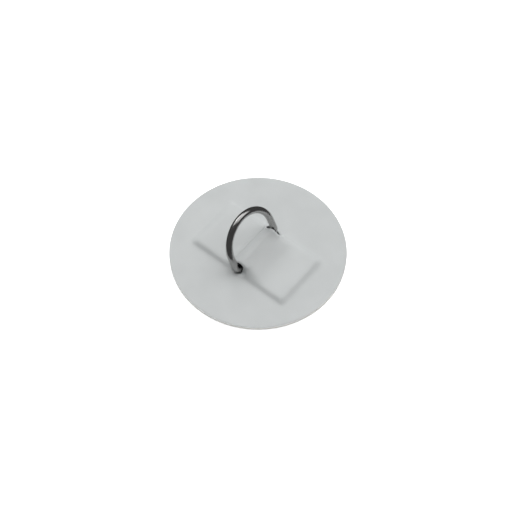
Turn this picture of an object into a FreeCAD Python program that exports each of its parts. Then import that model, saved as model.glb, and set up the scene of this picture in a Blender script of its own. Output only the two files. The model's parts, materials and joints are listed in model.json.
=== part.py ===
"""Glue-on D-ring patch (pad eye) for an inflatable boat, as a parametric FreeCAD document.

A steel D-ring lies with its straight bar under a strap of coated webbing. The strap's two tails are bonded
flat to a round base disc, and a second round disc is bonded over them. That cover has a slit beside the bar
and an oblong hole at each end of it, where the ring's legs come through, so the ring swings about its bar
like a hinge.

Frame, in millimetres: origin at the centre of the glue face, +Z up out of the patch, +Y along the ring's bar
and +X along the strap. The ring leans back towards -X, the side where the slit is. The patch is made by hand,
so the strap and the ring lie a little off the disc's centre.
"""

import FreeCAD, Part
import Sketcher
import math
import os

SIZES = (
    ("patch_diameter", 100.0, "both discs"),
    ("ply", 0.9, "thickness of one coated fabric disc"),
    ("film", 0.15, "thickness of one cured adhesive film"),
    ("wire", 4.0, "diameter of the ring's wire"),
    ("eye_width", 30.0, "inside width of the ring"),
    ("eye_height", 22.0, "inside height of the ring, from the bar to the top of the bow"),
    ("corner", 3.0, "bend radius of the ring's lower corners, on the wire's centre line"),
    ("ring_lean", 24.0, "degrees that the ring leans back from upright"),
    ("bar_gap", 0.15, "space between the bar and the base disc, where an adhesive film would lie"),
    ("tunnel_gap", 0.08, "running clearance of the bar under the strap"),
    ("strap_width", 28.0, "width of the strap, which fits between the ring's corners"),
    ("middle_y", -1.5, "middle of the strap and the ring along Y, a little off the disc's centre"),
    ("strap_reach", 29.1, "distance from the bar's axis to the end of a tail"),
    ("strap_ply", 1.5, "thickness of the strap"),
    ("strap_slope", 30.0, "degrees at which the strap comes down from the bar"),
    ("rise_end", 29.7, "half length of the cover's raised part, at its top"),
    ("rise_toe", 34.0, "half length of the cover's raised part, at its foot"),
    ("side_top", 14.7, "half width of the raised part, at its top"),
    ("side_knee", 16.2, "half width of the raised part, where its side flattens out"),
    ("side_toe", 18.8, "half width of the raised part, at its foot"),
    ("knee_share", 0.35, "height at the knee, as a share of the height at the top"),
    ("side_step", 0.6, "distance that the cover's underside lies inside its upper side"),
    ("slot_length", 12.0, "length of the oblong hole at each leg"),
    ("slot_width", 4.7, "width of that hole"),
    ("slot_shift", -1.0, "middle of that hole along X"),
    ("slit_place", -5.2, "place of the slit along X"),
    ("slit_width", 0.4, "gap between the slit's lips"),
    ("bury", 0.03, "depth to which the raised part's foot dips into the flat disc"),
    ("window_gap", 0.1, "space between the raised part's foot and the rim film's window"),
)

# Heights and lengths that follow from the sheet, as expressions on its cells.
SLOPE = "sizes.strap_slope * 1 deg"
AXIS_Z = "(sizes.ply + sizes.bar_gap + sizes.wire / 2)"
LEG_Y = "(sizes.eye_width / 2 + sizes.wire / 2)"
RING_RISE = "(sizes.eye_height + sizes.wire)"
UPPER_PLY_Z = "(sizes.ply + sizes.film)"
COVER_TOP_Z = f"({UPPER_PLY_Z} + sizes.ply)"
TAIL_TOP_Z = f"({UPPER_PLY_Z} + sizes.strap_ply)"
OVER_TAIL_Z = f"({TAIL_TOP_Z} + sizes.film)"
PLATEAU_Z = f"({OVER_TAIL_Z} + sizes.ply)"
TUNNEL_R = "(sizes.wire / 2 + sizes.tunnel_gap)"
STRAP_R = f"({TUNNEL_R} + sizes.strap_ply)"
UNDER_R = f"({STRAP_R} + sizes.film)"
COVER_R = f"({UNDER_R} + sizes.ply)"
SOLID_DEPTH = "0.6 * sizes.ply"
THROUGH_ALL = "10 * sizes.wire"

NORMAL = FreeCAD.Vector(0, 0, 1)


def crown_x(radius):
    """Half width at the top of a bulge whose slopes are tangent to a circle about the bar."""
    return f"({radius} * tan({SLOPE} / 2))"


def foot_x(radius, level):
    """Distance from the bar at which such a slope comes down to a level."""
    return f"({crown_x(radius)} + ({AXIS_Z} + {radius} - {level}) / tan({SLOPE}))"


def make_sheet(doc):
    """The spreadsheet with the driving dimensions: name, value and meaning."""
    sheet = doc.addObject("Spreadsheet::Sheet", "sizes")
    for row, (alias, value, meaning) in enumerate(SIZES, start=1):
        sheet.set(f"A{row}", alias)
        sheet.set(f"B{row}", str(value))
        sheet.set(f"C{row}", meaning)
        sheet.setAlias(f"B{row}", alias)
    doc.recompute()
    return sheet


def number(sheet, expression):
    """An expression's present value, to draw geometry with before its constraints hold it."""
    value = sheet.evalExpression(expression)
    return float(getattr(value, "Value", value))


def point(sheet, place):
    """The point of a sketch at a place given by two expressions."""
    return FreeCAD.Vector(number(sheet, place[0]), number(sheet, place[1]), 0)


def make_body(doc, label):
    body = doc.addObject("PartDesign::Body", label)
    body.Label = label
    return body


def sketch_on(body, role, name, offset="0"):
    """A sketch on one of the body's own origin planes, moved along the plane's normal by an expression."""
    plane = next(feature for feature in body.Origin.OriginFeatures if feature.Role == role)
    sketch = body.newObject("Sketcher::SketchObject", name)
    sketch.AttachmentSupport = [(plane, "")]
    sketch.MapMode = "FlatFace"
    sketch.setExpression("AttachmentOffset.Base.z", offset)
    return sketch


def sketch_across_y(body, name, y):
    """A sketch in the plane across Y at a place. The XZ plane's normal is -Y, so the offset changes sign."""
    return sketch_on(body, "XZ_Plane", name, f"-({y})")


def hold(sketch, sheet, expression, kind, *geometry):
    """Adds a dimension to a sketch and binds it to an expression."""
    index = sketch.addConstraint(Sketcher.Constraint(kind, *geometry, number(sheet, expression)))
    sketch.setExpression(f"Constraints[{index}]", expression)


def hold_point(sketch, sheet, line, end, place):
    """Holds one end of a line, or an arc's centre (end 3), at a place given by two expressions."""
    hold(sketch, sheet, place[0], "DistanceX", -1, 1, line, end)
    hold(sketch, sheet, place[1], "DistanceY", -1, 1, line, end)


def join(sketch, kind, one, other):
    """Joins the end of one edge to the start of another, as Coincident or Tangent."""
    sketch.addConstraint(Sketcher.Constraint(kind, one, 2, other, 1))


def add_circle(sketch, sheet, radius):
    """A circle about the sketch's origin."""
    circle = sketch.addGeometry(Part.Circle(FreeCAD.Vector(), NORMAL, number(sheet, radius)))
    sketch.addConstraint(Sketcher.Constraint("Coincident", circle, 3, -1, 1))
    hold(sketch, sheet, radius, "Radius", circle)


def add_run(sketch, sheet, corners):
    """Straight lines from corner to corner, with every corner held in its place."""
    points = [point(sheet, corner) for corner in corners]
    lines = [sketch.addGeometry(Part.LineSegment(a, b)) for a, b in zip(points, points[1:])]
    for line, following in zip(lines, lines[1:]):
        join(sketch, "Coincident", line, following)
    for line, corner in zip(lines, corners):
        hold_point(sketch, sheet, line, 1, corner)
    hold_point(sketch, sheet, lines[-1], 2, corners[-1])
    return lines


def add_outline(sketch, sheet, corners):
    """A closed outline through the corners."""
    lines = add_run(sketch, sheet, corners)
    closing = sketch.addGeometry(Part.LineSegment(point(sheet, corners[-1]), point(sheet, corners[0])))
    join(sketch, "Coincident", lines[-1], closing)
    join(sketch, "Coincident", closing, lines[0])


def add_rectangle(sketch, sheet, low, high):
    add_outline(sketch, sheet, (low, (high[0], low[1]), high, (low[0], high[1])))


def arc_about(centre, radius, start, end):
    """An arc in a sketch's plane, between two angles in degrees."""
    circle = Part.Circle(centre, NORMAL, radius)
    return Part.ArcOfCircle(circle, math.radians(start), math.radians(end))


def other_side(corners):
    """The mirror images of the corners across X = 0, in the order that carries on round the outline."""
    return tuple((f"-{x}", y) for x, y in reversed(corners))


def extrude(body, sketch, length, kind="PartDesign::Pad", both_ways=False):
    """Pads or pockets a sketch by a length given as an expression."""
    feature = body.newObject(kind, f"{sketch.Name}_solid")
    feature.Profile = sketch
    feature.SideType = "Symmetric" if both_ways else "One side"
    feature.setExpression("Length", length)
    return feature


def make_disc(doc, sheet, label, level, thickness):
    """A round ply or film of the patch's full diameter, from a level upwards."""
    body = make_body(doc, label)
    outline = sketch_on(body, "XY_Plane", f"{label}_outline", level)
    add_circle(outline, sheet, "sizes.patch_diameter / 2")
    extrude(body, outline, thickness)
    return body


def make_rim_film(doc, sheet):
    """The film that bonds the two discs, open where the strap and the ring lie between them."""
    body = make_disc(doc, sheet, "rim_adhesive_film", "sizes.ply", "sizes.film")
    window = sketch_on(body, "XY_Plane", "rim_film_window")
    x = "(sizes.rise_toe + sizes.window_gap)"
    y = "(sizes.side_toe + sizes.window_gap)"
    add_rectangle(window, sheet, (f"-{x}", f"sizes.middle_y - {y}"), (x, f"sizes.middle_y + {y}"))
    extrude(body, window, THROUGH_ALL, "PartDesign::Pocket", both_ways=True)
    return body


def make_tail_film(doc, sheet, label, start, level, to_front):
    """A film on one face of one of the strap's tails, from where the tail turns flat to its end."""
    body = make_body(doc, label)
    outline = sketch_on(body, "XY_Plane", f"{label}_outline", level)
    near, far = (start, "sizes.strap_reach") if to_front else ("-sizes.strap_reach", f"-{start}")
    low_y = "sizes.middle_y - sizes.strap_width / 2"
    high_y = "sizes.middle_y + sizes.strap_width / 2"
    add_rectangle(outline, sheet, (near, low_y), (far, high_y))
    extrude(body, outline, "sizes.film")
    return body


def arc_end(radius):
    """Where the strap's face leaves its arc over the bar, on the +X side."""
    return f"({radius} * sin({SLOPE}))", f"({AXIS_Z} + {radius} * cos({SLOPE}))"


def wrap_bar(sketch, sheet, radius, from_line, from_end, to_line, to_end):
    """The arc over the bar between the strap's +X side and its -X side."""
    slope = number(sheet, "sizes.strap_slope")
    centre = FreeCAD.Vector(0, number(sheet, AXIS_Z), 0)
    arc = sketch.addGeometry(arc_about(centre, number(sheet, radius), 90 - slope, 90 + slope))
    sketch.addConstraint(Sketcher.Constraint("Coincident", from_line, from_end, arc, 1))
    sketch.addConstraint(Sketcher.Constraint("Coincident", to_line, to_end, arc, 2))
    hold(sketch, sheet, radius, "Radius", arc)


def make_strap(doc, sheet):
    """One strip of coated webbing: two flat tails, slopes up to the bar, and an arc that wraps over it."""
    body = make_body(doc, "anchor_strap")
    section = sketch_across_y(body, "strap_section", "sizes.middle_y")
    front = (
        arc_end(STRAP_R),
        (foot_x(STRAP_R, TAIL_TOP_Z), TAIL_TOP_Z),
        ("sizes.strap_reach", TAIL_TOP_Z),
        ("sizes.strap_reach", UPPER_PLY_Z),
        (foot_x(TUNNEL_R, UPPER_PLY_Z), UPPER_PLY_Z),
        arc_end(TUNNEL_R),
    )
    front_lines = add_run(section, sheet, front)
    rear_lines = add_run(section, sheet, other_side(front))
    wrap_bar(section, sheet, STRAP_R, front_lines[0], 1, rear_lines[-1], 2)
    wrap_bar(section, sheet, TUNNEL_R, front_lines[-1], 2, rear_lines[0], 1)
    extrude(body, section, "sizes.strap_width", both_ways=True)
    return body


def draw_ring_path(path, sheet):
    """The wire's centre line in the ring's own plane: bar, two corners, two legs and the half-round bow."""
    leg = number(sheet, LEG_Y)
    bend = number(sheet, "sizes.corner")
    shoulder = number(sheet, f"{RING_RISE} - {LEG_Y}")
    vector = FreeCAD.Vector
    edges = (
        Part.LineSegment(vector(bend - leg, 0, 0), vector(leg - bend, 0, 0)),
        arc_about(vector(leg - bend, bend, 0), bend, 270, 360),
        Part.LineSegment(vector(leg, bend, 0), vector(leg, shoulder, 0)),
        arc_about(vector(0, shoulder, 0), leg, 0, 180),
        Part.LineSegment(vector(-leg, shoulder, 0), vector(-leg, bend, 0)),
        arc_about(vector(bend - leg, bend, 0), bend, 180, 270),
    )
    bar, corner, leg_line, bow, far_leg, far_corner = [path.addGeometry(edge) for edge in edges]
    loop = (bar, corner, leg_line, bow, far_leg, far_corner)
    for edge, following in zip(loop, loop[1:] + loop[:1]):
        join(path, "Tangent", edge, following)
    path.addConstraint(Sketcher.Constraint("Horizontal", bar))
    path.addConstraint(Sketcher.Constraint("Vertical", leg_line))
    path.addConstraint(Sketcher.Constraint("PointOnObject", bar, 1, -1))
    path.addConstraint(Sketcher.Constraint("PointOnObject", bow, 3, -2))
    path.addConstraint(Sketcher.Constraint("Equal", corner, far_corner))
    hold(path, sheet, "sizes.corner", "Radius", corner)
    hold(path, sheet, LEG_Y, "Radius", bow)
    hold(path, sheet, f"{RING_RISE} - {LEG_Y}", "DistanceY", -1, 1, bow, 3)


def make_ring(doc, sheet):
    """The D-ring, swept in its own plane and then leaned back about its bar."""
    body = make_body(doc, "d_ring")
    path = sketch_on(body, "YZ_Plane", "ring_path")
    draw_ring_path(path, sheet)
    section = sketch_on(body, "XZ_Plane", "wire_section")
    add_circle(section, sheet, "sizes.wire / 2")
    doc.recompute()
    wire = body.newObject("PartDesign::AdditivePipe", "ring_wire")
    wire.Profile = section
    wire.Spine = path
    wire.Mode = "Frenet"
    body.Placement.Rotation = FreeCAD.Rotation(FreeCAD.Vector(0, 1, 0), 0)
    body.setExpression("Placement.Base.y", "sizes.middle_y")
    body.setExpression("Placement.Base.z", AXIS_Z)
    body.setExpression("Placement.Rotation.Angle", "-sizes.ring_lean * 1 deg")
    return body


def raised_section(base, plateau, radius, inset, share):
    """The raised part cut across Y, at a share of its height above its foot, on the +X side."""
    foot = f"({base} - sizes.bury)"
    toe_x = f"(sizes.rise_toe - {inset})"
    profile = (
        (crown_x(radius), f"({AXIS_Z} + {radius})"),
        (foot_x(radius, plateau), plateau),
        (f"(sizes.rise_end - {inset})", plateau),
    )
    raised = tuple((x, f"({foot} + {share} * ({level} - {foot}))") for x, level in profile)
    return raised + ((toe_x, foot), (toe_x, f"({base} - {SOLID_DEPTH})"))


def loft_raised_part(body, sheet, kind, name, base, plateau, radius, inset):
    """Lofts the raised part along Y: full height over the strap, falling to the flat disc at each side."""
    half = (("sizes.side_toe", "0"), ("sizes.side_knee", "sizes.knee_share"), ("sizes.side_top", "1"))
    stations = [(f"sizes.middle_y - ({y} - {inset})", share) for y, share in half]
    stations += [(f"sizes.middle_y + ({y} - {inset})", share) for y, share in reversed(half)]
    sections = []
    for count, (place, share) in enumerate(stations, start=1):
        sketch = sketch_across_y(body, f"{name}_section_{count}", place)
        front = raised_section(base, plateau, radius, inset, share)
        add_outline(sketch, sheet, front + other_side(front))
        sections.append(sketch)
    body.Document.recompute()
    loft = body.newObject(kind, name)
    loft.Profile = sections[0]
    loft.Sections = sections[1:]
    loft.Ruled = True
    body.Document.recompute()


def add_slot(sketch, sheet, y):
    """An oblong hole along X with round ends, where one of the ring's legs comes through."""
    radius = number(sheet, "sizes.slot_width / 2")
    straight = "(sizes.slot_length - sizes.slot_width) / 2"
    front_end = (f"sizes.slot_shift + {straight}", y)
    rear_x = f"sizes.slot_shift - {straight}"
    front = point(sheet, front_end)
    rear = point(sheet, (rear_x, y))
    across = FreeCAD.Vector(0, radius, 0)
    edges = (
        arc_about(front, radius, -90, 90),
        Part.LineSegment(front + across, rear + across),
        arc_about(rear, radius, 90, 270),
        Part.LineSegment(rear - across, front - across),
    )
    loop = [sketch.addGeometry(edge) for edge in edges]
    for edge, following in zip(loop, loop[1:] + loop[:1]):
        join(sketch, "Tangent", edge, following)
    sketch.addConstraint(Sketcher.Constraint("Horizontal", loop[1]))
    hold_point(sketch, sheet, loop[0], 3, front_end)
    hold(sketch, sheet, rear_x, "DistanceX", -1, 1, loop[2], 3)
    hold(sketch, sheet, "sizes.slot_width / 2", "Radius", loop[0])


def make_cover(doc, sheet):
    """The cover disc, raised over the strap and the bar, with the slit and the two holes for the legs."""
    body = make_disc(doc, sheet, "cover_disc", UPPER_PLY_Z, "sizes.ply")
    doc.recompute()
    loft_raised_part(body, sheet, "PartDesign::AdditiveLoft", "raised_outside",
                     COVER_TOP_Z, PLATEAU_Z, COVER_R, "0")
    loft_raised_part(body, sheet, "PartDesign::SubtractiveLoft", "raised_inside",
                     UPPER_PLY_Z, OVER_TAIL_Z, UNDER_R, "sizes.side_step")
    slots = sketch_on(body, "XY_Plane", "leg_slots")
    add_slot(slots, sheet, f"sizes.middle_y + {LEG_Y}")
    add_slot(slots, sheet, f"sizes.middle_y - {LEG_Y}")
    extrude(body, slots, THROUGH_ALL, "PartDesign::Pocket", both_ways=True)
    slit = sketch_on(body, "XY_Plane", "slit")
    low = ("sizes.slit_place - sizes.slit_width / 2", f"sizes.middle_y - {LEG_Y}")
    high = ("sizes.slit_place + sizes.slit_width / 2", f"sizes.middle_y + {LEG_Y}")
    add_rectangle(slit, sheet, low, high)
    extrude(body, slit, THROUGH_ALL, "PartDesign::Pocket", both_ways=True)
    return body


def check(doc, parts):
    """Stops if an object failed to compute, or if a sub-part isn't one valid closed solid."""
    for item in doc.Objects:
        if {"Invalid", "Error"} & set(item.State):
            raise RuntimeError(f"{item.Label} failed: {item.State}")
    for part in parts:
        shape = part.Shape
        if shape.isNull() or not shape.isValid() or len(shape.Solids) != 1:
            raise RuntimeError(f"{part.Label} isn't one valid solid")
        box = shape.optimalBoundingBox()
        print(f"{part.Label}: {shape.Volume:.1f} mm3, {box.XLength:.2f} x {box.YLength:.2f} mm, "
              f"z {box.ZMin:.2f} to {box.ZMax:.2f}")


def make_parts(doc, sheet):
    """Every sub-part, from the glue face upwards."""
    under_start = foot_x(TUNNEL_R, UPPER_PLY_Z)
    over_start = foot_x(UNDER_R, OVER_TAIL_Z)
    return (
        make_disc(doc, sheet, "base_disc", "0", "sizes.ply"),
        make_rim_film(doc, sheet),
        make_tail_film(doc, sheet, "front_tail_film_under", under_start, "sizes.ply", to_front=True),
        make_tail_film(doc, sheet, "rear_tail_film_under", under_start, "sizes.ply", to_front=False),
        make_strap(doc, sheet),
        make_tail_film(doc, sheet, "front_tail_film_over", over_start, TAIL_TOP_Z, to_front=True),
        make_tail_film(doc, sheet, "rear_tail_film_over", over_start, TAIL_TOP_Z, to_front=False),
        make_cover(doc, sheet),
        make_ring(doc, sheet),
    )


def main():
    doc = FreeCAD.newDocument("d_ring_patch")
    sheet = make_sheet(doc)
    parts = make_parts(doc, sheet)
    doc.recompute()
    check(doc, parts)
    os.makedirs("parts", exist_ok=True)
    for part in parts:
        part.Shape.exportStep(f"parts/{part.Label}.step")


main()
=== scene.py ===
"""Looks of the glue-on D-ring patch: two fabric discs, the strap between them and a steel ring.

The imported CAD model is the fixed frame. The ring and the bond lines are its own nodes with better
materials; the discs and the strap are built here as soft goods. Lengths are in metres, in the CAD's
frame.
"""

import json
import math

import bpy
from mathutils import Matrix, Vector, kdtree, noise
from mathutils.geometry import delaunay_2d_cdt


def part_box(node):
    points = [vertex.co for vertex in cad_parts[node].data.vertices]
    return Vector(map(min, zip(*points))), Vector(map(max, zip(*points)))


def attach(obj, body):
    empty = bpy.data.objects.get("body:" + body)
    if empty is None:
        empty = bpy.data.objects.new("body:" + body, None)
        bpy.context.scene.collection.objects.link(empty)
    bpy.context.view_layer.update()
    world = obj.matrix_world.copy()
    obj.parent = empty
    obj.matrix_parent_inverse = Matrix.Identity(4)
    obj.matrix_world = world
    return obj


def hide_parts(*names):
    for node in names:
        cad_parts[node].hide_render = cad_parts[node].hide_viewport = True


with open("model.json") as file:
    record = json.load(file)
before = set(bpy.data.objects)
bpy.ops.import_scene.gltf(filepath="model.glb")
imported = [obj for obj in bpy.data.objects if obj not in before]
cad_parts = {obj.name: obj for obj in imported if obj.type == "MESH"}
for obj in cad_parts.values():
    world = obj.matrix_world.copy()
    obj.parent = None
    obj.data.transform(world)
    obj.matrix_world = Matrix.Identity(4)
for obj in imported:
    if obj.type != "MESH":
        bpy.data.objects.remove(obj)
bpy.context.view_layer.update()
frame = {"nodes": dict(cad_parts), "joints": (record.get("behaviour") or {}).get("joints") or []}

MM = 0.001

# Places and sizes read from the CAD frame.
BASE_LOW, BASE_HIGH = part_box("base_disc")
COVER_LOW, COVER_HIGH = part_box("cover_disc")
STRAP_LOW, STRAP_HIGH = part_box("anchor_strap")
RING_LOW, RING_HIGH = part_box("d_ring")
TAIL_TOP_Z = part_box("front_tail_film_over")[0].z
PLATEAU_UNDER_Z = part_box("front_tail_film_over")[1].z
BAR_AXIS = Vector(frame["joints"][0]["pos_m"])
PLY = BASE_HIGH.z - BASE_LOW.z
RADIUS = BASE_HIGH.x
MIDDLE_Y = (STRAP_LOW.y + STRAP_HIGH.y) / 2
STRAP_HALF = (STRAP_HIGH.y - STRAP_LOW.y) / 2
STRAP_REACH = STRAP_HIGH.x
STRAP_PLY = TAIL_TOP_Z - STRAP_LOW.z
WIRE_R = RING_HIGH.x
LEG_OFFSET = (RING_HIGH.y - RING_LOW.y) / 2 - WIRE_R
FLAT_Z = COVER_LOW.z + PLY
PLATEAU_Z = PLATEAU_UNDER_Z + PLY
CROWN_R = COVER_HIGH.z - BAR_AXIS.z
STRAP_R = STRAP_HIGH.z - BAR_AXIS.z
STRAP_SLOPE = math.radians(30)

# The cover's soft shape. Of a pair, -1 is for the leg at -Y and 1 for the leg at +Y.
COVER_SLOPE = math.radians(16)
SIDE_MIDDLE = STRAP_HALF + 3.3 * MM
SIDE_SPREAD = 0.78 * MM
BULGE_SIDE_MIDDLE = {-1: STRAP_HALF + 0.95 * MM, 1: STRAP_HALF + 1.3 * MM}
BULGE_SIDE_SPREAD = 0.35 * MM
BULGE_SOFTER_SPREAD = 1.0 * MM
BULGE_SOFTER_X = 4.9 * MM
BULGE_SOFTER_BLEND = 0.35 * MM
LIP_LIFT = 1.2 * MM
LIP_LIFT_X = 1.5 * MM
LIP_LIFT_REACH = 3.2 * MM
PRESS = 0.85
PRESS_X = (-3.4 * MM, 2.8 * MM)
PRESS_LENGTH = 1.6 * MM
PRESS_ACROSS = LEG_OFFSET - 0.4 * MM
PRESS_WIDTH = 1.5 * MM
END_MIDDLE = STRAP_REACH + 2.9 * MM
END_SPREAD = 0.9 * MM
FOOT_BLEND = 1.2 * MM
STRAP_BLEND = 0.5 * MM
WAVE = 0.06 * MM
WAVE_LENGTH = 14 * MM

# The opening in the cover: a hole at each leg, and the slit that joins them.
SLIT_X = -5.4 * MM
SLIT_GAP = 0.35 * MM
SLIT_HOOK = {-1: 2.4 * MM, 1: 0.3 * MM}
SLIT_HOOK_START = {-1: STRAP_HALF - 1.6 * MM, 1: STRAP_HALF}
SLIT_END = {-1: LEG_OFFSET - 2.8 * MM, 1: LEG_OFFSET - 1.95 * MM}
HOLE_LEFT = {-1: -3.9 * MM, 1: -5.6 * MM}
HOLE_RIGHT = {-1: 2.6 * MM, 1: 3.4 * MM}
HOLE_INNER = {-1: LEG_OFFSET - 2.7 * MM, 1: LEG_OFFSET - 2.2 * MM}
HOLE_OUTER = LEG_OFFSET + 1.4 * MM
HOLE_SQUARENESS_LEFT = {-1: 2.6, 1: 4.0}
HOLE_SQUARENESS_RIGHT_INNER = 6.0
HOLE_SQUARENESS_RIGHT_OUTER = {-1: 2.2, 1: 1.7}
HOLE_POINTS = 60
HOLE_START = math.radians(-138)
HOLE_SKIP = math.radians(6)

# Mesh detail.
FINE_STEP = 0.55 * MM
FINE_MARGIN_X = 8 * MM
FINE_MARGIN_Y = 7 * MM
COARSE_STEP = 1.6 * MM
OUTLINE_STEP = 0.9 * MM
LIP_STEP = 0.3 * MM
EDGE_CLEARANCE = 0.6 * FINE_STEP
MERGE_DISTANCE = 1e-9
SLOPE_STEP = 0.02 * MM
FABRIC_ROUND = 0.12 * MM
STRAP_ROUND = 0.5 * MM
ROUND_SEGMENTS = 2
EXPONENT_LIMIT = 60

# The material slots of a sheet.
FACE_SLOT = 0
EDGE_SLOT = 1
OPENING_SLOT = 2

# Textures: the pitches of threads, and the range that most of a noise texture lies in. A wave
# texture of scale 1 has its bands 2 pi / WAVE_RATE apart.
SCRIM_PITCH = 1.1 * MM
RIB_PITCH = 1.3 * MM
YARN_PITCH = 0.8 * MM
NOISE_LOW = 0.3
NOISE_HIGH = 0.7
WAVE_RATE = 20

# The stage's half width, and the camera.
STAGE_R = 3.0
CAMERA_AZIMUTH = math.radians(39.0)
CAMERA_ELEVATION = math.radians(57.92)
CAMERA_DISTANCE = 0.7
CAMERA_LENS = 87.58
CAMERA_SENSOR = 36
CAMERA_SHIFT_X = -0.0060
CAMERA_SHIFT_Y = -0.0063


def smooth_max(a, b, width):
    """The larger of two heights, with a soft fillet of the given width where they meet."""
    gap = max(width - abs(a - b), 0)
    return max(a, b) + gap * gap / (4 * width)


def fall(distance, middle, spread):
    """A share that falls smoothly from 1 to 0 around a middle distance."""
    return 1 / (1 + math.exp(min((distance - middle) / spread, EXPONENT_LIMIT)))


def arch_z(x, radius, slope):
    """Height of a sheet that hugs a circle about the bar and leaves it in straight slopes."""
    reach = abs(x)
    if reach < radius * math.sin(slope):
        return BAR_AXIS.z + math.sqrt(radius * radius - reach * reach)
    return BAR_AXIS.z + radius / math.cos(slope) - reach * math.tan(slope)


def mound(distance, reach):
    """A share that is 1 in the middle of a smooth mound and falls to 0 outside its reach."""
    return math.exp(-(distance / reach) ** 2)


def cover_z(x, y):
    """Height of the cover's upper side."""
    across = abs(y - MIDDLE_Y)
    side = 1 if y > MIDDLE_Y else -1
    end_share = fall(abs(x), END_MIDDLE, END_SPREAD)
    side_share = fall(across, SIDE_MIDDLE, SIDE_SPREAD)
    plateau = (PLATEAU_Z - FLAT_Z) * end_share * side_share
    slope = COVER_SLOPE if x > 0 else STRAP_SLOPE
    bulge = smooth_max(arch_z(x, CROWN_R, slope), PLATEAU_Z, FOOT_BLEND) - PLATEAU_Z
    if side > 0:
        bulge += (LIP_LIFT * mound(x - LIP_LIFT_X, LIP_LIFT_REACH)
                  * mound(across - STRAP_HALF, LIP_LIFT_REACH))
    steep = fall(x, BULGE_SOFTER_X, BULGE_SOFTER_BLEND)
    spread = BULGE_SOFTER_SPREAD + (BULGE_SIDE_SPREAD - BULGE_SOFTER_SPREAD) * steep
    bulge *= fall(across, BULGE_SIDE_MIDDLE[side], spread)
    beside_leg = max(mound(x - place_x, PRESS_LENGTH) for place_x in PRESS_X)
    pressed = 1 - PRESS * beside_leg * mound(across - PRESS_ACROSS, PRESS_WIDTH)
    waves = WAVE * noise.noise(Vector((x, y, 0)) / WAVE_LENGTH)
    return FLAT_Z + (plateau + bulge) * pressed + waves


def strap_z(x, y):
    """Height of the strap's upper side."""
    return smooth_max(arch_z(x, STRAP_R, STRAP_SLOPE), TAIL_TOP_Z, STRAP_BLEND)


def base_z(x, y):
    """Height of the base disc's upper side, which is flat."""
    return BASE_HIGH.z


def arc(middle, radius, start, end, step):
    """Points along an arc in the plane, from one angle to another."""
    count = max(2, round(abs(end - start) * radius / step))
    angles = [start + (end - start) * i / count for i in range(count + 1)]
    return [middle + radius * Vector((math.cos(a), math.sin(a))) for a in angles]


def divided(loop, step):
    """A closed loop with points added, so that no side is longer than a step."""
    points = []
    for a, b in zip(loop, loop[1:] + loop[:1]):
        count = max(1, math.ceil((b - a).length / step))
        points += [a.lerp(b, i / count) for i in range(count)]
    return points


def disc_outline(radius, step):
    """Points round a disc's rim."""
    return arc(Vector((0, 0)), radius, 0, 2 * math.pi, step)[:-1]


def strap_outline(half_length, half_width):
    """The strap's rectangle."""
    corners = [(-1, -1), (1, -1), (1, 1), (-1, 1)]
    return divided([Vector((i * half_length, MIDDLE_Y + j * half_width)) for i, j in corners], LIP_STEP)


def slit_x(y):
    """Place of the slit along X, at a distance from its middle; near its ends it hooks."""
    side = 1 if y > 0 else -1
    share = max((abs(y) - SLIT_HOOK_START[side]) / (SLIT_END[side] - SLIT_HOOK_START[side]), 0)
    return SLIT_X + SLIT_HOOK[side] * share * share


def leg_hole(side):
    """The rounded hole at one leg, from the slit's right lip round to its left lip."""
    middle = Vector(((HOLE_LEFT[side] + HOLE_RIGHT[side]) / 2, (HOLE_INNER[side] + HOLE_OUTER) / 2))
    half = Vector(((HOLE_RIGHT[side] - HOLE_LEFT[side]) / 2, (HOLE_OUTER - HOLE_INNER[side]) / 2))
    points = []
    for i in range(HOLE_POINTS + 1):
        angle = HOLE_START + (2 * math.pi - HOLE_SKIP) * i / HOLE_POINTS
        c = math.cos(angle)
        s = math.sin(angle)
        power = HOLE_SQUARENESS_LEFT[side]
        if c > 0:
            power = HOLE_SQUARENESS_RIGHT_OUTER[side] if s > 0 else HOLE_SQUARENESS_RIGHT_INNER
        size = (abs(c) ** power + abs(s) ** power) ** (-1 / power)
        points.append(middle + Vector((half.x * c, half.y * s)) * size)
    return [Vector((p.x, MIDDLE_Y + side * p.y)) for p in points]


def slit_lip(side):
    """One lip of the slit, -1 for the left and 1 for the right, from the -Y end to the +Y end."""
    start = -SLIT_END[-1]
    end = SLIT_END[1]
    count = round((end - start) / LIP_STEP)
    steps = [start + (end - start) * i / count for i in range(count + 1)]
    return [Vector((slit_x(y) + side * SLIT_GAP / 2, MIDDLE_Y + y)) for y in steps]


def cover_opening():
    """The cover's one opening: both holes and the slit between them."""
    return leg_hole(1) + slit_lip(-1)[::-1] + leg_hole(-1)[::-1] + slit_lip(1)


def is_inside(point, loop):
    """Whether a point lies inside a closed loop."""
    odd = False
    for a, b in zip(loop, loop[1:] + loop[:1]):
        if (a.y > point.y) != (b.y > point.y):
            if point.x < a.x + (b.x - a.x) * (point.y - a.y) / (b.y - a.y):
                odd = not odd
    return odd


def staggered(low, high, step):
    """Points of a grid whose rows are staggered, between two corners."""
    points = []
    row_step = step * math.sqrt(3) / 2
    for row in range(int((high.y - low.y) / row_step) + 1):
        start = low.x + step / 2 * (row % 2)
        count = int((high.x - start) / step) + 1
        points += [Vector((start + i * step, low.y + row * row_step)) for i in range(count)]
    return points


def near_tree(points):
    """A tree that finds the nearest of some plane points."""
    tree = kdtree.KDTree(len(points))
    for i, p in enumerate(points):
        tree.insert((p.x, p.y, 0), i)
    tree.balance()
    return tree


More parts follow.
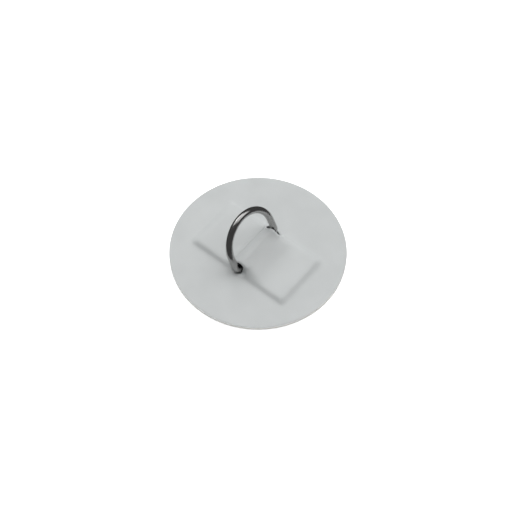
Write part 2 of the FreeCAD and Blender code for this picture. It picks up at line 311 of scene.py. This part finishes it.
def fill_points(outline, holes, fine_low, fine_high):
    """Points inside an outline and outside its holes, closer together between two corners."""
    low = Vector((min(p.x for p in outline), min(p.y for p in outline)))
    high = Vector((max(p.x for p in outline), max(p.y for p in outline)))
    fine = staggered(fine_low, fine_high, FINE_STEP)
    coarse = [p for p in staggered(low, high, COARSE_STEP)
              if not (fine_low.x - FINE_STEP < p.x < fine_high.x + FINE_STEP
                      and fine_low.y - FINE_STEP < p.y < fine_high.y + FINE_STEP)]
    edge = near_tree([p for loop in [outline, *holes] for p in loop])
    kept = [p for p in fine + coarse if edge.find((p.x, p.y, 0))[2] > EDGE_CLEARANCE]
    return [p for p in kept if is_inside(p, outline) and not any(is_inside(p, h) for h in holes)]


def triangulate(outline, holes, fill):
    """Plane points and the triangles between an outline and its holes."""
    points = []
    edges = []
    for loop in [outline, *holes]:
        first = len(points)
        points += loop
        edges += [(first + i, first + (i + 1) % len(loop)) for i in range(len(loop))]
    points += fill
    made = delaunay_2d_cdt(points, edges, [], 0, MERGE_DISTANCE)
    flat = made[0]
    triangles = made[2]
    kept = []
    for t in triangles:
        middle = (flat[t[0]] + flat[t[1]] + flat[t[2]]) / 3
        if is_inside(middle, outline) and not any(is_inside(middle, h) for h in holes):
            kept.append(t)
    return flat, kept


def lift(height, p):
    """The point of a surface above a plane point, and the surface's normal there."""
    d = SLOPE_STEP
    slope_x = (height(p.x + d, p.y) - height(p.x - d, p.y)) / (2 * d)
    slope_y = (height(p.x, p.y + d) - height(p.x, p.y - d)) / (2 * d)
    return Vector((p.x, p.y, height(p.x, p.y))), Vector((-slope_x, -slope_y, 1)).normalized()


def rims(triangles):
    """The directed edges that only one triangle has, as a dict from each vertex to the next."""
    used = {(t[i], t[(i + 1) % 3]) for t in triangles for i in range(3)}
    return {a: b for a, b in used if (b, a) not in used}


def rim_profile(thickness, rounding):
    """Steps (outwards, down) round a cut edge, from the upper side to the lower side."""
    quarter = [math.pi / 2 * i / ROUND_SEGMENTS for i in range(1, ROUND_SEGMENTS + 1)]
    upper = [(rounding * math.sin(a), rounding * (1 - math.cos(a))) for a in quarter]
    return upper + [(out, thickness - down) for out, down in reversed(upper)]


def cut_edges(flat, lifted, triangles, thickness, rounding):
    """The points of a sheet's rounded cut edges, numbered after its two sides' own, and the faces."""
    count = len(flat)
    following = rims(triangles)
    before = {b: a for a, b in following.items()}
    profile = rim_profile(thickness, rounding)
    points = []
    rings = {}
    for i in following:
        along = (flat[following[i]] - flat[before[i]]).normalized()
        p, n = lifted[i]
        outwards = Vector((along.y, -along.x, 0))
        outwards = (outwards - n * outwards.dot(n)).normalized()
        first = 2 * count + len(points)
        rings[i] = [i] + [first + k for k in range(len(profile))] + [count + i]
        points += [p + outwards * out - n * down for out, down in profile]
    faces = []
    for a, b in following.items():
        for k in range(len(profile) + 1):
            faces.append((rings[b][k], rings[a][k], rings[a][k + 1], rings[b][k + 1]))
    return points, faces


def shell(name, flat, triangles, height, thickness, rounding, materials):
    """A sheet of even thickness under a surface; its rounded cut edges have the second material."""
    lifted = [lift(height, p) for p in flat]
    count = len(flat)
    points = [p for p, n in lifted] + [p - n * thickness for p, n in lifted]
    faces = list(triangles) + [tuple(count + i for i in reversed(t)) for t in triangles]
    edge_points, edge_faces = cut_edges(flat, lifted, triangles, thickness, rounding)
    mesh = bpy.data.meshes.new(name)
    mesh.from_pydata(points + edge_points, [], faces + edge_faces)
    for material in materials:
        mesh.materials.append(material)
    for i, polygon in enumerate(mesh.polygons):
        polygon.use_smooth = True
        polygon.material_index = FACE_SLOT if i < len(faces) else EDGE_SLOT
    piece = bpy.data.objects.new(name, mesh)
    bpy.context.scene.collection.objects.link(piece)
    return piece


def add(tree, kind, inputs=None, **settings):
    """A shader node whose inputs are set to values or joined to other nodes' outputs."""
    made = tree.nodes.new(kind)
    for name, value in settings.items():
        setattr(made, name, value)
    for name, value in (inputs or {}).items():
        if isinstance(value, bpy.types.NodeSocket):
            tree.links.new(value, made.inputs[name])
        else:
            made.inputs[name].default_value = value
    return made


def new_material(name):
    """An empty material with its shader, and the tree to build it in."""
    material = bpy.data.materials.new(name)
    material.use_nodes = True
    tree = material.node_tree
    tree.nodes.clear()
    shader = tree.nodes.new("ShaderNodeBsdfPrincipled")
    output = tree.nodes.new("ShaderNodeOutputMaterial")
    tree.links.new(shader.outputs["BSDF"], output.inputs["Surface"])
    return material, tree, shader


def place(tree):
    """A point's place on its piece, in metres."""
    return tree.nodes.new("ShaderNodeTexCoord").outputs["Object"]


def mottle(tree, scale, detail=3.0):
    """Soft noise, at so many features a metre."""
    inputs = {"Vector": place(tree), "Scale": scale, "Detail": detail}
    return add(tree, "ShaderNodeTexNoise", inputs).outputs["Fac"]


def between(tree, share, low, high):
    """A number that runs from low to high as a share runs over the middle of its range."""
    source = {"Value": share, "From Min": NOISE_LOW, "From Max": NOISE_HIGH}
    return add(tree, "ShaderNodeMapRange", {**source, "To Min": low, "To Max": high}).outputs["Result"]


def mix_colours(tree, share, first, second):
    """A colour between two, by a share."""
    made = add(tree, "ShaderNodeMix", {"Factor": share}, data_type="RGBA")
    for name, value in (("A", first), ("B", second)):
        socket = next(s for s in made.inputs if s.name == name and s.type == "RGBA")
        if isinstance(value, bpy.types.NodeSocket):
            tree.links.new(value, socket)
        else:
            socket.default_value = (*value, 1)
    return next(s for s in made.outputs if s.type == "RGBA")


def bump(tree, height, distance, normal=None):
    """A normal that leans as if the surface rose by a distance where the height is 1."""
    inputs = {"Height": height, "Distance": distance, "Strength": 1.0}
    if normal is not None:
        inputs["Normal"] = normal
    return add(tree, "ShaderNodeBump", inputs).outputs["Normal"]


def threads(tree, direction, pitch):
    """Ridges across one axis, a pitch apart."""
    scale = 2 * math.pi / (WAVE_RATE * pitch)
    inputs = {"Vector": place(tree), "Scale": scale, "Distortion": 0.3, "Detail": 1.0}
    return add(tree, "ShaderNodeTexWave", inputs, bands_direction=direction).outputs["Fac"]


def mottled_material(name, colour_scale, colours, roughness_scale, roughness):
    """A new material whose colour and roughness each vary softly between two values."""
    material, tree, shader = new_material(name)
    colour = mix_colours(tree, between(tree, mottle(tree, colour_scale), 0, 1), *colours)
    tree.links.new(colour, shader.inputs["Base Color"])
    varied = between(tree, mottle(tree, roughness_scale), *roughness)
    tree.links.new(varied, shader.inputs["Roughness"])
    return material, tree, shader


def fabric_material():
    """Smooth coated fabric: an even light grey skin, through which the scrim's threads just tell."""
    material, tree, shader = mottled_material(
        "coated_fabric_skin",
        colour_scale=60, colours=((0.455, 0.473, 0.473), (0.485, 0.503, 0.503)),
        roughness_scale=140, roughness=(0.40, 0.50))
    along_x = threads(tree, "X", SCRIM_PITCH)
    along_y = threads(tree, "Y", SCRIM_PITCH)
    scrim = add(tree, "ShaderNodeMath", {0: along_x, 1: along_y}, operation="MAXIMUM").outputs["Value"]
    grain = bump(tree, mottle(tree, scale=4000, detail=2.0), distance=0.008 * MM)
    skin = bump(tree, scrim, distance=0.011 * MM, normal=grain)
    tree.links.new(skin, shader.inputs["Normal"])
    return material


def rim_threads_painted_light_material():
    """The cut edge of the fabric, where the scrim's white threads show between the coats; it is also
    made paler than the face as painted light on the rim.
    """
    material, tree, shader = mottled_material(
        "fabric_cut_threads_painted_light",
        # Painted light: these pale colours lighten the rim beyond the threads' own tone.
        colour_scale=900, colours=((0.62, 0.64, 0.64), (0.80, 0.80, 0.78)),
        roughness_scale=2000, roughness=(0.6, 0.8))
    fluff = bump(tree, mottle(tree, scale=4000), distance=0.03 * MM)
    tree.links.new(fluff, shader.inputs["Normal"])
    return material


def near_black_webbing_material():
    """Webbing: two sets of ribs under a matte near-black colour."""
    material, tree, shader = mottled_material(
        "near_black_webbing_face",
        # Near black: this darkness is also what makes the mouth beside the near leg look black.
        colour_scale=300, colours=((0.020, 0.021, 0.022), (0.032, 0.033, 0.034)),
        roughness_scale=800, roughness=(0.6, 0.75))
    ribs = bump(tree, threads(tree, "DIAGONAL", RIB_PITCH), distance=0.15 * MM)
    yarns = bump(tree, threads(tree, "Y", YARN_PITCH), distance=0.1 * MM, normal=ribs)
    tree.links.new(yarns, shader.inputs["Normal"])
    return material


def steel_material():
    """Polished stainless wire with faint drawing marks."""
    material, tree, shader = mottled_material(
        "polished_stainless",
        colour_scale=250, colours=((0.42, 0.415, 0.41), (0.52, 0.515, 0.51)),
        roughness_scale=700, roughness=(0.10, 0.26))
    shader.inputs["Metallic"].default_value = 1.0
    marks = bump(tree, mottle(tree, scale=900), distance=0.02 * MM)
    polish = bump(tree, mottle(tree, scale=4000), distance=0.004 * MM, normal=marks)
    tree.links.new(polish, shader.inputs["Normal"])
    return material


def adhesive_material():
    """Cured glue: slightly yellow and glossy."""
    material, tree, shader = mottled_material(
        "cured_adhesive",
        colour_scale=400, colours=((0.62, 0.58, 0.46), (0.72, 0.68, 0.56)),
        roughness_scale=900, roughness=(0.25, 0.4))
    film = bump(tree, mottle(tree, scale=2000), distance=0.02 * MM)
    tree.links.new(film, shader.inputs["Normal"])
    return material


def make_disc(name, holes, height, materials):
    """A disc of fabric under a surface, meshed more finely round the strap."""
    outline = disc_outline(RADIUS - FABRIC_ROUND, OUTLINE_STEP)
    fine = Vector((STRAP_REACH + FINE_MARGIN_X, STRAP_HALF + FINE_MARGIN_Y))
    middle = Vector((0, MIDDLE_Y))
    fill = fill_points(outline, holes, middle - fine, middle + fine)
    flat, triangles = triangulate(outline, holes, fill)
    return shell(name, flat, triangles, height, PLY, FABRIC_ROUND, materials)


def paint_opening(piece, material):
    """Gives the cut edges of a disc's opening their own material."""
    mesh = piece.data
    mesh.materials.append(material)
    for polygon in mesh.polygons:
        if polygon.material_index == EDGE_SLOT and polygon.center.xy.length < RADIUS / 2:
            polygon.material_index = OPENING_SLOT


def make_strap(material):
    """The strap, over the bar and down to the base on both sides."""
    outline = strap_outline(STRAP_REACH - STRAP_ROUND, STRAP_HALF - STRAP_ROUND)
    low = Vector((-STRAP_REACH, STRAP_LOW.y))
    high = Vector((STRAP_REACH, STRAP_HIGH.y))
    flat, triangles = triangulate(outline, [], fill_points(outline, [], low, high))
    return shell("woven_strap", flat, triangles, strap_z, STRAP_PLY, STRAP_ROUND, [material, material])


def dress_node(name, material):
    """Gives a CAD node a better material."""
    for slot in frame["nodes"][name].material_slots:
        slot.material = material


def stage_material(name, colour, glow):
    """A matte surface that glows evenly, like a light table."""
    material, tree, shader = new_material(name)
    shader.inputs["Base Color"].default_value = (*colour, 1)
    shader.inputs["Roughness"].default_value = 0.9
    shader.inputs["Emission Color"].default_value = (1, 1, 1, 1)
    shader.inputs["Emission Strength"].default_value = glow
    return material


def add_floor():
    """A wide pale light table under the patch, which the steel doesn't mirror."""
    bpy.ops.mesh.primitive_grid_add(x_subdivisions=4, y_subdivisions=4, size=2 * STAGE_R,
                                    location=(0, 0, 0))
    floor = bpy.context.object
    floor.name = "floor"
    floor.data.materials.append(stage_material("pale_floor", colour=(0.85, 0.85, 0.85), glow=0.6))
    floor.visible_glossy = False


def add_backdrop():
    """A pale wall all round, seen only behind the floor's far edge."""
    bpy.ops.mesh.primitive_cylinder_add(vertices=64, radius=STAGE_R, depth=2 * STAGE_R,
                                        end_fill_type="NOTHING")
    wall = bpy.context.object
    wall.name = "backdrop"
    wall.data.materials.append(stage_material("pale_backdrop", colour=(0, 0, 0), glow=0.95))
    wall.visible_glossy = False
    wall.visible_diffuse = False
    wall.visible_shadow = False


def aim(thing, back):
    """Puts a light or the camera into the scene, looking away from a direction."""
    thing.rotation_mode = "QUATERNION"
    thing.rotation_quaternion = Vector(back).to_track_quat("Z", "Y")
    bpy.context.scene.collection.objects.link(thing)


def add_sun(name, direction, strength, angle):
    """A far soft light that shines from a direction and isn't seen in the steel."""
    light = bpy.data.lights.new(name, "SUN")
    light.energy = strength
    light.angle = math.radians(angle)
    lamp = bpy.data.objects.new(name, light)
    lamp.visible_glossy = False
    aim(lamp, direction)


def add_softbox(name, direction, distance, size, power):
    """An oblong area light that faces the patch, and that the steel mirrors."""
    light = bpy.data.lights.new(name, "AREA")
    light.shape = "RECTANGLE"
    light.energy = power
    light.size, light.size_y = size
    lamp = bpy.data.objects.new(name, light)
    lamp.location = Vector(direction).normalized() * distance
    aim(lamp, direction)


def add_world(colour):
    """An even dim light from all round."""
    world = bpy.data.worlds.new("studio")
    world.use_nodes = True
    world.node_tree.nodes["Background"].inputs["Color"].default_value = (*colour, 1)
    bpy.context.scene.world = world


def add_camera():
    """The camera stands to the right of the strap's -Y side and looks steeply down."""
    back = Vector((math.sin(CAMERA_AZIMUTH) * math.cos(CAMERA_ELEVATION),
                   -math.cos(CAMERA_AZIMUTH) * math.cos(CAMERA_ELEVATION),
                   math.sin(CAMERA_ELEVATION)))
    data = bpy.data.cameras.new("photo_camera")
    data.sensor_width = CAMERA_SENSOR
    data.lens = CAMERA_LENS
    data.shift_x = CAMERA_SHIFT_X
    data.shift_y = CAMERA_SHIFT_Y
    camera = bpy.data.objects.new("photo_camera", data)
    camera.location = back * CAMERA_DISTANCE
    aim(camera, back)
    bpy.context.scene.camera = camera


fabric = fabric_material()
cut_edge = rim_threads_painted_light_material()
base = make_disc("base_fabric", [], base_z, [fabric, cut_edge])
cover = make_disc("cover_fabric", [cover_opening()], cover_z, [fabric, cut_edge])
paint_opening(cover, fabric)
strap = make_strap(near_black_webbing_material())
for piece, node, slot_name in ((base, "base_disc", "coated_fabric"),
                               (cover, "cover_disc", "coated_fabric"),
                               (strap, "anchor_strap", "coated_webbing")):
    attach(piece, "patch")
    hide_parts(node)

dress_node("d_ring", steel_material())
adhesive = adhesive_material()
for name in frame["nodes"]:
    if "film" in name:
        dress_node(name, adhesive)

add_floor()
add_backdrop()
add_world(colour=(0.08, 0.08, 0.08))
add_sun("key_light", (-0.34, 0.56, 0.76), strength=2.2, angle=85)
add_sun("top_light", (0.0, 0.0, 1.0), strength=0.55, angle=150)
add_softbox("overhead_bank", (-0.12, 0.30, 0.95), distance=0.8, size=(1.6, 0.62), power=3.4)
add_softbox("bright_bank", (-0.56, 0.22, 0.80), distance=0.8, size=(0.34, 0.12), power=0.36)
add_camera()
bpy.context.scene.view_settings.view_transform = "Standard"
